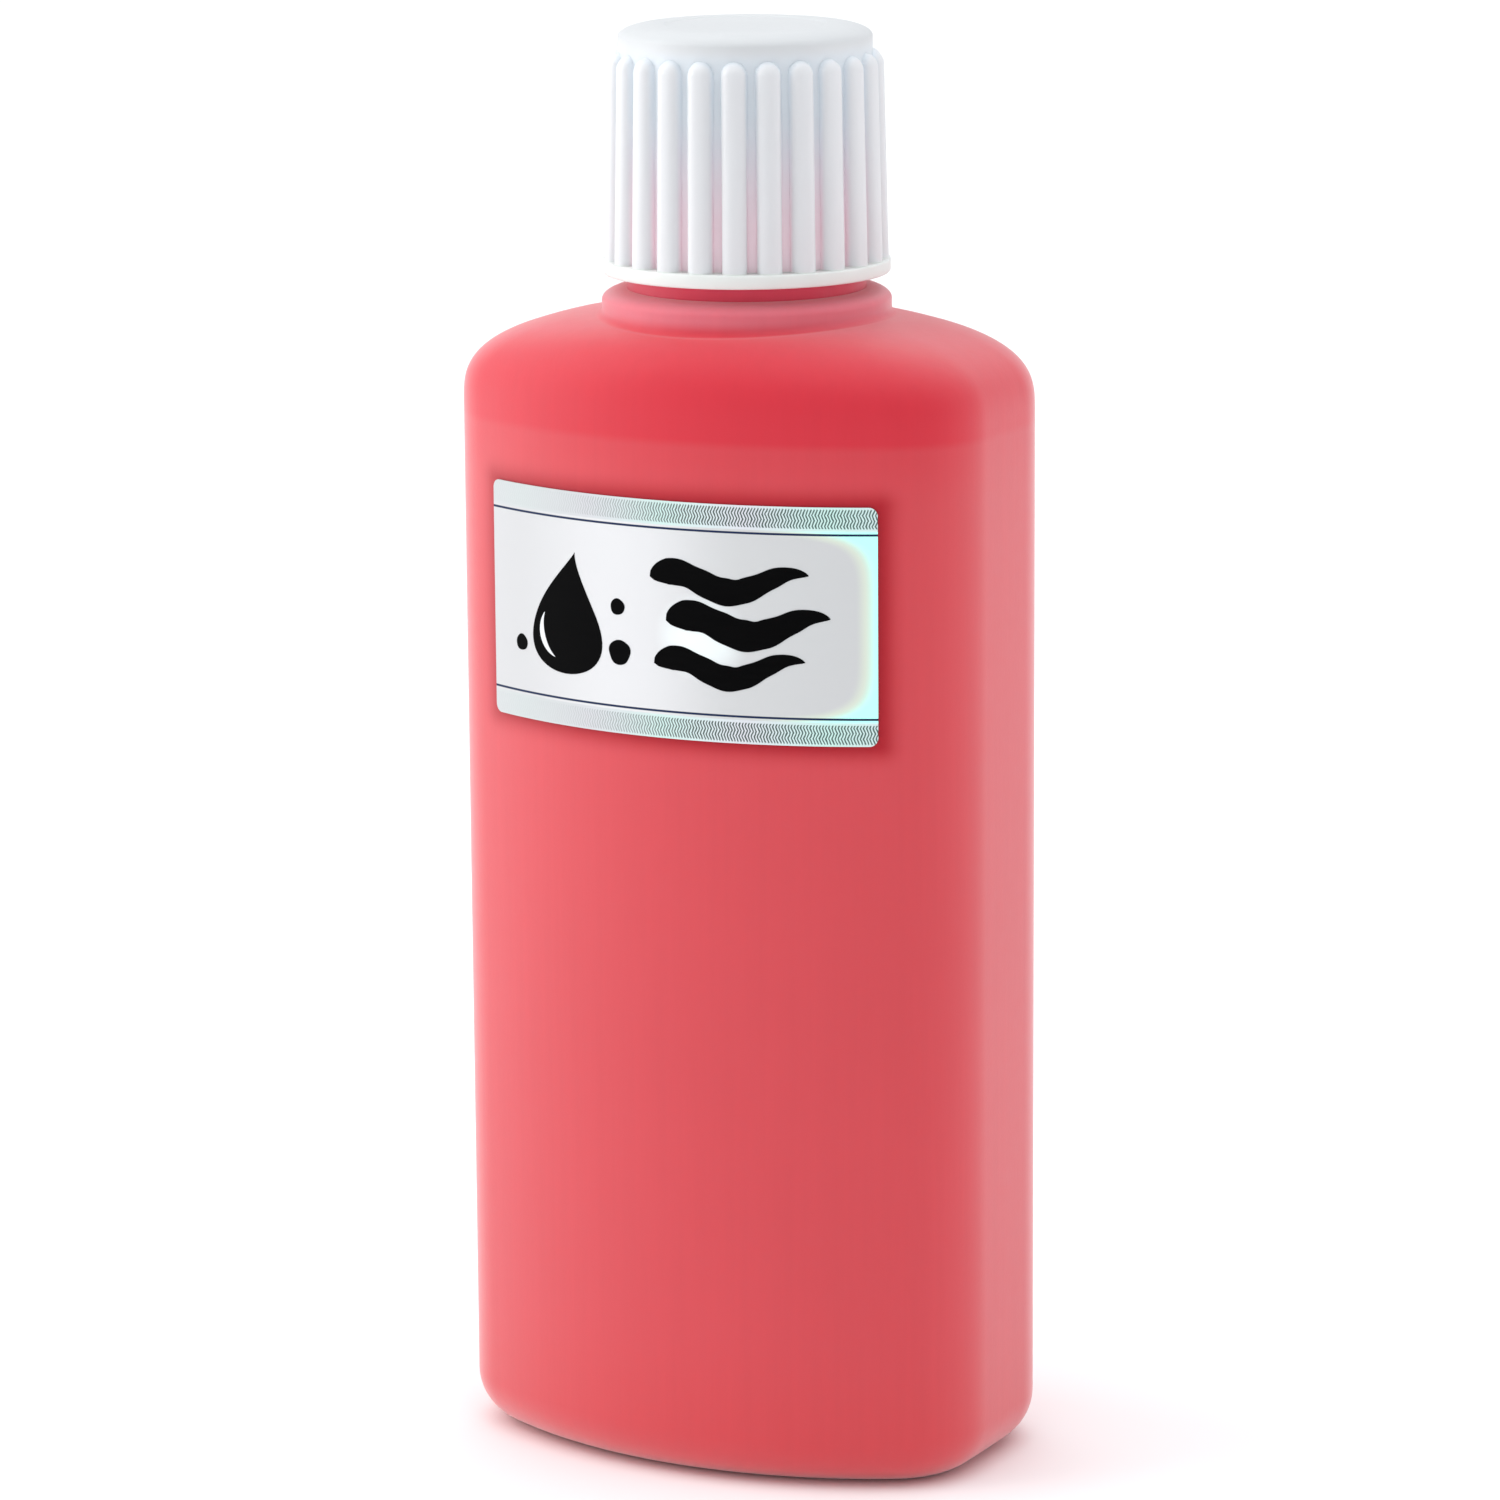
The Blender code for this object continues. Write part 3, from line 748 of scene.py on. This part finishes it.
# ---- materials ----
class Nodes:
    """Short calls for building one material's node tree."""

    def __init__(self, name):
        self.material = bpy.data.materials.new(name)
        self.material.use_nodes = True
        self.tree = self.material.node_tree
        self.shader = self.tree.nodes["Principled BSDF"]

    def new(self, kind, **settings):
        node = self.tree.nodes.new(kind)
        for key, value in settings.items():
            setattr(node, key, value)
        return node

    def link(self, output, socket):
        self.tree.links.new(output, socket)

    def put(self, value, socket):
        """Sets a socket to a constant, or links it to another node's output."""
        if isinstance(value, (int, float, tuple)):
            socket.default_value = value
        else:
            self.link(value, socket)

    def math(self, operation, first, second=0.0):
        node = self.new("ShaderNodeMath", operation=operation)
        self.put(first, node.inputs[0])
        self.put(second, node.inputs[1])
        return node.outputs[0]

    def step(self, value, low, high):
        """Smooth step from 0 at low to 1 at high."""
        node = self.new("ShaderNodeMapRange", interpolation_type="SMOOTHSTEP")
        self.put(value, node.inputs["Value"])
        node.inputs["From Min"].default_value = low
        node.inputs["From Max"].default_value = high
        return node.outputs["Result"]

    def mix(self, share, first, second):
        node = self.new("ShaderNodeMix", data_type="RGBA")
        self.put(share, node.inputs["Factor"])
        self.put(first, node.inputs[6])
        self.put(second, node.inputs[7])
        return node.outputs[2]

    def noise(self, vector, scale, detail=3.0, rough=0.5):
        node = self.new("ShaderNodeTexNoise")
        self.link(vector, node.inputs["Vector"])
        node.inputs["Scale"].default_value = scale
        node.inputs["Detail"].default_value = detail
        node.inputs["Roughness"].default_value = rough
        return node.outputs["Fac"]

    def stretched(self, vector, scale):
        node = self.new("ShaderNodeMapping")
        self.link(vector, node.inputs["Vector"])
        node.inputs["Scale"].default_value = scale
        return node.outputs["Vector"]

    def object_position(self):
        return self.new("ShaderNodeTexCoord").outputs["Object"]

    def split(self, vector):
        node = self.new("ShaderNodeSeparateXYZ")
        self.link(vector, node.inputs[0])
        return node.outputs

    def bump(self, height, strength, distance):
        node = self.new("ShaderNodeBump")
        self.link(height, node.inputs["Height"])
        node.inputs["Strength"].default_value = strength
        node.inputs["Distance"].default_value = distance
        self.link(node.outputs["Normal"], self.shader.inputs["Normal"])

    def set(self, **values):
        for key, value in values.items():
            self.shader.inputs[key.replace("_", " ")].default_value = value

    def faded(self, value, strength):
        return self.math("MULTIPLY", value, strength)

    def scaled(self, value, low, high):
        """A 0 to 1 value spread over low to high."""
        return self.math("ADD", self.math("MULTIPLY", value, high - low), low)


def painted_label_shadow(n, place):
    """Painted shadow on the plastic by the front label: 1 at its edge, 0 a short way out from it.
    """
    x, y, z = n.split(place)
    across = n.math("ABSOLUTE", n.math("SUBTRACT", x, FRONT_SHIFT))
    past_side = n.math("MAXIMUM", n.math("SUBTRACT", across, LABEL_CHORD), 0.0)
    up = n.math("ABSOLUTE", n.math("SUBTRACT", z, LABEL_MIDDLE))
    past_top = n.math("MAXIMUM", n.math("SUBTRACT", up, LABEL_HALF_HEIGHT), 0.0)
    squares = n.math("ADD", n.math("POWER", past_side, 2.0), n.math("POWER", past_top, 2.0))
    past = n.math("SQRT", squares)
    near = n.math("POWER", n.math("SUBTRACT", 1.0, n.step(past, 0.0, LABEL_SHADOW_REACH)), 3.0)
    return n.math("MULTIPLY", near, n.math("LESS_THAN", y, 0.0))


def frosted_plastic():
    """Milky polyethylene over red ink: clearer red above the ink, paler round the thick neck;
    darker red near the heel, partly thicker plastic and partly painted shade, a painted shadow
    round the front label, and painted light on the bead under the cap.
    """
    n = Nodes("frosted_bottle")
    place = n.object_position()
    height = n.split(place)[2]
    # Darker red towards the bottom: partly the heel's thicker plastic, partly painted shade.
    heel_thick_and_shade = n.step(height, HEEL_THICK_SHADE_TOP, HEEL_THICK_SHADE_FULL)
    colour = n.mix(n.faded(heel_thick_and_shade, 0.55), INK_BEHIND, HEEL_THICK_AND_SHADE)
    just_below = n.step(height, INK_LEVEL - 7 * MM, INK_LEVEL - 0.5 * MM)
    colour = n.mix(n.faded(just_below, 0.35), colour, AIR_BEHIND)
    above_ink = n.step(height, INK_LEVEL - 0.7 * MM, INK_LEVEL + 0.5 * MM)
    colour = n.mix(above_ink, colour, AIR_BEHIND)
    # Painted shadow: deeper, darker red on the plastic round the front label.
    colour = n.mix(n.faded(painted_label_shadow(n, place), 0.92), colour, LABEL_SHADOW_RED)
    collar = n.step(height, SHOULDER_END - 0.6 * MM, SHOULDER_END + 1.0 * MM)
    colour = n.mix(n.faded(collar, 0.55), colour, COLLAR_PALE)
    # Painted light and shade on the bead under the cap.
    bead_light = n.step(height, COLLAR_TOP - 0.3 * MM, COLLAR_TOP + 0.1 * MM)
    colour = n.mix(n.faded(bead_light, 0.85), colour, BEAD_PAINTED_LIGHT)
    up_neck = n.step(height, BEAD_TOP, NECK_TOP - 6 * MM)
    colour = n.mix(up_neck, colour, NECK_MILKY)
    streaks = n.noise(n.stretched(place, (1.0, 1.0, 0.03)), 900.0, 4.0, 0.6)
    cloud = n.noise(place, 28.0, 2.0)
    shade = n.math("MULTIPLY", n.scaled(streaks, 0.96, 1.04), n.scaled(cloud, 0.95, 1.05))
    node = n.new("ShaderNodeHueSaturation")
    n.link(colour, node.inputs["Color"])
    n.link(shade, node.inputs["Value"])
    n.link(node.outputs["Color"], n.shader.inputs["Base Color"])
    n.link(n.scaled(n.noise(place, 600.0), 0.40, 0.52), n.shader.inputs["Roughness"])
    n.set(Subsurface_Weight=0.35, Subsurface_Scale=1.5 * MM, Subsurface_Radius=(1.0, 0.35, 0.3))
    n.set(Sheen_Weight=0.7, Sheen_Roughness=0.45, Sheen_Tint=BODY_SHEEN)
    n.set(IOR=1.5, Specular_IOR_Level=0.2)
    n.bump(n.math("ADD", streaks, n.noise(place, 2600.0)), 0.12, 0.05 * MM)
    return n.material


def white_plastic():
    """Satin, slightly see-through cap plastic, with painted shade in its grooves, bluish high up
    and painted red bounce light low down, a painted darker top and a painted brighter flange top.
    """
    n = Nodes("white_cap")
    place = n.object_position()
    x, y, z = n.split(place)
    radius = n.math("SQRT", n.math("ADD", n.math("MULTIPLY", x, x), n.math("MULTIPLY", y, y)))
    rib = n.step(radius, CAP_HEAD_RADIUS + 0.1 * MM, RIB_CREST_TOP - 0.2 * MM)
    thin = n.math("SUBTRACT", 1.0, rib)
    below_dome = n.step(z, TOTAL_HEIGHT - CAP_EDGE_DOWN, RIB_TOP - 0.5 * MM)
    low = n.step(z, TOTAL_HEIGHT - 7 * MM, CAP_BOTTOM + 3 * MM)
    # Painted shade in the grooves between the ribs, turning to painted red bounce light low down.
    through = n.mix(low, GROOVE_PAINTED_SHADE, GROOVE_RED_BOUNCE)
    marks = n.noise(n.stretched(place, (1.0, 1.0, 0.05)), 1500.0, 3.0)
    tint = n.mix(n.noise(place, 60.0), *CAP_WHITE)
    tint = n.mix(n.faded(n.math("MULTIPLY", thin, below_dome), 0.8), tint, through)
    # Painted shade: the cap's top is painted a darker grey.
    dome = n.step(z, RIB_TOP, TOTAL_HEIGHT - 0.4 * MM)
    tint = n.mix(n.faded(dome, 0.8), tint, CAP_TOP_SHADE)
    # Painted light: the flange's top is painted brighter and greener, against the red light bounced
    # from the bottle.
    flange_top = CAP_BOTTOM + FLANGE_HEIGHT
    flange = n.step(z, flange_top + 0.2 * MM, flange_top)
    tint = n.mix(n.faded(flange, 0.9), tint, FLANGE_PAINTED_LIGHT)
    n.link(tint, n.shader.inputs["Base Color"])
    n.link(n.scaled(marks, 0.34, 0.46), n.shader.inputs["Roughness"])
    n.set(Subsurface_Weight=0.5, Subsurface_Scale=1.6 * MM, Subsurface_Radius=(1.0, 0.95, 0.95))
    n.set(IOR=1.49, Specular_IOR_Level=0.4)
    n.bump(n.math("ADD", marks, n.noise(place, 3000.0)), 0.08, 0.04 * MM)
    return n.material


def natural_plastic():
    """Soft, waxy, off-white polyethylene."""
    n = Nodes("soft_insert")
    place = n.object_position()
    tint = n.mix(n.noise(place, 90.0), *INSERT_WHITE)
    n.link(tint, n.shader.inputs["Base Color"])
    n.link(n.scaled(n.noise(place, 800.0), 0.38, 0.5), n.shader.inputs["Roughness"])
    n.set(Subsurface_Weight=0.3, Subsurface_Scale=1.0 * MM, Subsurface_Radius=(1.0, 0.9, 0.8))
    n.bump(n.noise(place, 2500.0), 0.1, 0.04 * MM)
    return n.material


def liner_foam():
    """Closed-cell foam: fine round cells in an off-white disc."""
    n = Nodes("liner_foam")
    place = n.object_position()
    cells = n.new("ShaderNodeTexVoronoi")
    n.link(place, cells.inputs["Vector"])
    cells.inputs["Scale"].default_value = 3200.0
    tint = n.mix(cells.outputs["Distance"], *FOAM_WHITE)
    n.link(tint, n.shader.inputs["Base Color"])
    n.link(n.scaled(n.noise(place, 500.0), 0.8, 0.95), n.shader.inputs["Roughness"])
    n.bump(cells.outputs["Distance"], 0.35, 0.1 * MM)
    return n.material


def red_ink():
    """Glossy, water-thin ink."""
    n = Nodes("red_ink")
    place = n.object_position()
    tint = n.mix(n.noise(place, 40.0), *RED_INK)
    n.link(tint, n.shader.inputs["Base Color"])
    n.link(n.scaled(n.noise(place, 50.0), 0.05, 0.09), n.shader.inputs["Roughness"])
    n.set(IOR=1.34)
    return n.material


def film_field(n, uv, along, away, band_edge, glow):
    """Pale silver field with painted shade towards its left end and right of the middle, turning
    yellowish and then turquoise in a rounded frame at its right.
    """
    grain = n.noise(uv, 14.0, 2.0)
    field = n.mix(grain, *FILM_SILVER)
    # Painted shade: the field is painted darker towards its left end and again right of the middle.
    left_shade = n.step(along, -4.0, -20.0)
    field = n.mix(n.faded(left_shade, glow), field, FILM_LEFT_SHADE)
    right_shade = n.step(along, -2.0, 9.0)
    field = n.mix(n.faded(right_shade, glow), field, FILM_RIGHT_SHADE)
    across = n.math("ABSOLUTE", n.math("DIVIDE", along, FRAME_HALF_WIDTH))
    upwards = n.math("DIVIDE", away, band_edge + FRAME_PAST_BAND)
    frame_x = n.math("POWER", across, FRAME_SQUARE)
    frame_y = n.math("POWER", upwards, FRAME_SQUARE)
    frame_at = n.math("ADD", frame_x, frame_y)
    right = n.step(along, 9.0, 17.0)
    rim = n.math("MULTIPLY", n.step(frame_at, 0.55, 0.78), right)
    edge_glow = n.math("MULTIPLY", n.step(frame_at, 0.72, 1.10), right)
    field = n.mix(n.faded(rim, 0.55 * glow), field, FILM_RIM)
    field = n.mix(n.faded(edge_glow, glow), field, FILM_EDGE)
    return field, grain, edge_glow


def film_hatching(n, uv, along, away, band_edge, half):
    """Herringbone rows of fine slanted strokes along a band, and where they show."""
    row = n.math("DIVIDE", n.math("SUBTRACT", away, band_edge), HATCH_ROW)
    lean = n.math("PINGPONG", row, 1.0)
    jitter = n.faded(n.noise(uv, 2.2, 1.0), 0.5)
    phase = n.math("ADD", n.math("DIVIDE", along, HATCH_PITCH), n.faded(lean, 0.75))
    wave = n.math("PINGPONG", n.math("ADD", phase, jitter), 0.5)
    strength = n.step(along, -15.0, 6.0)
    shown = n.math("MULTIPLY", n.step(wave, 0.18, 0.34), n.scaled(strength, 0.05, 1.0))
    shown = n.math("MULTIPLY", shown, n.step(away, band_edge + 0.22, band_edge + 0.32))
    shown = n.math("MULTIPLY", shown, n.step(away, half - 0.12, half - 0.30))
    sheen = n.math("PINGPONG", n.math("DIVIDE", along, 9.0), 1.0)
    tint = n.mix(sheen, *BAND_TINTS)
    paper = n.mix(n.scaled(strength, 0.15, 0.85), BAND_PAPER, tint)
    return n.mix(shown, paper, BAND_STROKES), shown


def film_spot(n, along, up):
    """Soft bright spot, as if lit through the film, right of the middle."""
    across = n.math("POWER", n.math("DIVIDE", n.math("SUBTRACT", along, 4.5), 5.0), 2.0)
    upwards = n.math("POWER", n.math("DIVIDE", n.math("ADD", up, 1.5), 4.5), 2.0)
    return n.math("SUBTRACT", 1.0, n.step(n.math("ADD", across, upwards), 0.0, 1.2))


def film_rule(n, away, band_edge):
    """Where the two thin rules are, just inside the bands."""
    off_rule = n.math("ABSOLUTE", n.math("SUBTRACT", away, band_edge - RULE_GAP / MM))
    width = RULE_WIDTH / MM
    return n.math("SUBTRACT", 1.0, n.step(off_rule, 0.4 * width, 0.65 * width))


def silver_film(name, glow):
    """Holographic silver film: pale field, thin rules, hatched bands along both long edges, and a
    painted glow at the right of its frame.

    Its UV is in mm. The glow, 0 to 1, is how strongly the film's colours, its painted shade, and
    its painted glow and bright spot show."""
    n = Nodes(name)
    uv = n.new("ShaderNodeUVMap", uv_map="film_mm").outputs["UV"]
    along, up = n.split(uv)[:2]
    away = n.math("ABSOLUTE", up)
    half = LABEL_HALF_HEIGHT / MM
    band_edge = half - BAND / MM
    field, grain, edge_glow = film_field(n, uv, along, away, band_edge, glow)
    hatched, shown = film_hatching(n, uv, along, away, band_edge, half)
    in_band = n.step(away, band_edge - 0.03, band_edge + 0.03)
    colour = n.mix(in_band, field, hatched)
    colour = n.mix(n.faded(film_spot(n, along, up), 0.8 * glow), colour, FILM_SPOT)
    rule = film_rule(n, away, band_edge)
    colour = n.mix(rule, colour, RULE_DARK)
    n.link(colour, n.shader.inputs["Base Color"])
    n.link(n.scaled(grain, 0.55, 0.68), n.shader.inputs["Roughness"])
    # Painted glow: the turquoise edge of the frame emits light of its own, except under the rules
    # and bands.
    covered = n.math("MAXIMUM", rule, n.faded(in_band, 0.85))
    lit = n.math("MULTIPLY", edge_glow, n.math("SUBTRACT", 1.0, covered))
    shine = n.mix(n.faded(lit, glow), BLACK, FILM_PAINTED_GLOW)
    n.link(shine, n.shader.inputs["Emission Color"])
    n.set(Metallic=0.08, Specular_IOR_Level=0.35, Emission_Strength=1.0)
    n.bump(n.math("MULTIPLY", shown, in_band), 0.2, 0.02 * MM)
    return n.material


def printing_ink(name, colour):
    """Printed ink with the faint streaks of the brush."""
    n = Nodes(name)
    place = n.object_position()
    bristles = n.noise(n.stretched(place, (0.15, 0.15, 1.0)), 2500.0, 3.0)
    lighter = tuple(min(1.0, c + 0.002) for c in colour)
    tint = n.mix(bristles, (*colour, 1.0), (*lighter, 1.0))
    n.link(tint, n.shader.inputs["Base Color"])
    n.link(n.scaled(bristles, 0.55, 0.7), n.shader.inputs["Roughness"])
    n.set(Specular_IOR_Level=0.03)
    n.bump(bristles, 0.1, 0.01 * MM)
    return n.material


def floor_finish():
    """Matt, nearly white paper."""
    n = Nodes("studio_floor")
    place = n.object_position()
    tint = n.mix(n.noise(place, 3.0), *FLOOR_WHITE)
    n.link(tint, n.shader.inputs["Base Color"])
    n.set(Roughness=0.8, Specular_IOR_Level=0.2)
    return n.material


# ---- stage, light and camera ----
def make_stage():
    """Flat white floor that the bottle stands on."""
    mesh = bpy.data.meshes.new("studio_floor")
    side = FLOOR_HALF_SIDE
    corners = [(-side, -side, 0), (side, -side, 0), (side, side, 0), (-side, side, 0)]
    mesh.from_pydata(corners, [], [(0, 1, 2, 3)])
    mesh.materials.append(floor_finish())
    floor = bpy.data.objects.new("studio_floor", mesh)
    bpy.context.scene.collection.objects.link(floor)


def area_light(name, place, size, power, colour, down=False):
    """Soft box; its place is so far to the camera's right, so far toward the camera, and up.

    It points at the bottle's middle, or straight down at the floor, and no camera sees it."""
    across, toward_camera, height = place
    right = Vector((math.cos(CAMERA_AZIMUTH), math.sin(CAMERA_AZIMUTH), 0))
    back = Vector((math.sin(CAMERA_AZIMUTH), -math.cos(CAMERA_AZIMUTH), 0))
    data = bpy.data.lights.new(name, "AREA")
    data.shape = "RECTANGLE"
    data.size, data.size_y = size
    data.energy = power
    data.color = colour
    lamp = bpy.data.objects.new(name, data)
    bpy.context.scene.collection.objects.link(lamp)
    lamp.location = right * across + back * toward_camera + Vector((0, 0, height))
    aim = Vector((0, 0, -1)) if down else Vector((0, 0, TOTAL_HEIGHT / 2)) - lamp.location
    lamp.rotation_euler = aim.to_track_quat("-Z", "Y").to_euler()
    lamp.visible_camera = False


def make_light():
    """A key at the left, a weak light at the right, two from above, and an even sky."""
    area_light("key_left", (-0.75, -0.03, 0.40), (0.7, 0.9), 4.0, (1.0, 0.985, 0.97))
    area_light("side_right", (0.75, 0.05, 0.32), (0.35, 0.8), 0.85, (1.0, 0.97, 0.98))
    area_light("overhead", (0.0, -0.2, 2.0), (3.4, 3.4), 38.0, (0.98, 0.99, 1.0), down=True)
    area_light("backdrop", (0.0, -2.7, 1.2), (4.0, 2.4), 12.0, (1.0, 1.0, 1.0), down=True)
    world = bpy.data.worlds.new("studio")
    world.use_nodes = True
    sky = world.node_tree.nodes["Background"]
    sky.inputs["Color"].default_value = SKY_COLOUR
    sky.inputs["Strength"].default_value = SKY_STRENGTH
    bpy.context.scene.world = world


def make_camera():
    """Camera at the photograph's viewing angle."""
    out = Vector((math.sin(CAMERA_AZIMUTH), -math.cos(CAMERA_AZIMUTH), 0))
    ahead = -out * math.cos(CAMERA_PITCH) - Vector((0, 0, math.sin(CAMERA_PITCH)))
    right = ahead.cross(Vector((0, 0, 1))).normalized()
    up = right.cross(ahead)
    turned_right = right * math.cos(CAMERA_ROLL) + up * math.sin(CAMERA_ROLL)
    turned_up = -right * math.sin(CAMERA_ROLL) + up * math.cos(CAMERA_ROLL)
    data = bpy.data.cameras.new("camera")
    data.lens = CAMERA_LENS
    data.sensor_width = CAMERA_SENSOR
    data.clip_end = 50.0
    camera = bpy.data.objects.new("camera", data)
    bpy.context.scene.collection.objects.link(camera)
    rotation = Matrix((turned_right, turned_up, -ahead)).transposed()
    place = out * CAMERA_DISTANCE + Vector((0, 0, CAMERA_HEIGHT))
    camera.matrix_world = Matrix.Translation(place) @ rotation.to_4x4()
    bpy.context.scene.camera = camera


def main():
    frosted = frosted_plastic()
    cap_white = white_plastic()
    make_bottle(frosted)
    make_thread(
        "neck_thread", NECK_RADIUS, THREAD_START, False, "bottle", frosted
    )
    make_cap(cap_white)
    make_thread("cap_thread", CAP_BORE, CAP_THREAD_START, True, "cap", cap_white)
    make_liner(liner_foam())
    make_insert(natural_plastic())
    make_label("front_film", -1, silver_film("front_film", 1.0), "front_label")
    make_label("back_film", 1, silver_film("back_film", 0.6), "back_label")
    black = printing_ink("black_print", PRINT_BLACK)
    make_front_print(black, printing_ink("pale_print", PRINT_PALE))
    make_back_print(black)
    nodes["ink"].data.materials.clear()
    nodes["ink"].data.materials.append(red_ink())
    make_stage()
    make_light()
    make_camera()
    bpy.context.scene.view_settings.view_transform = "Standard"


main()
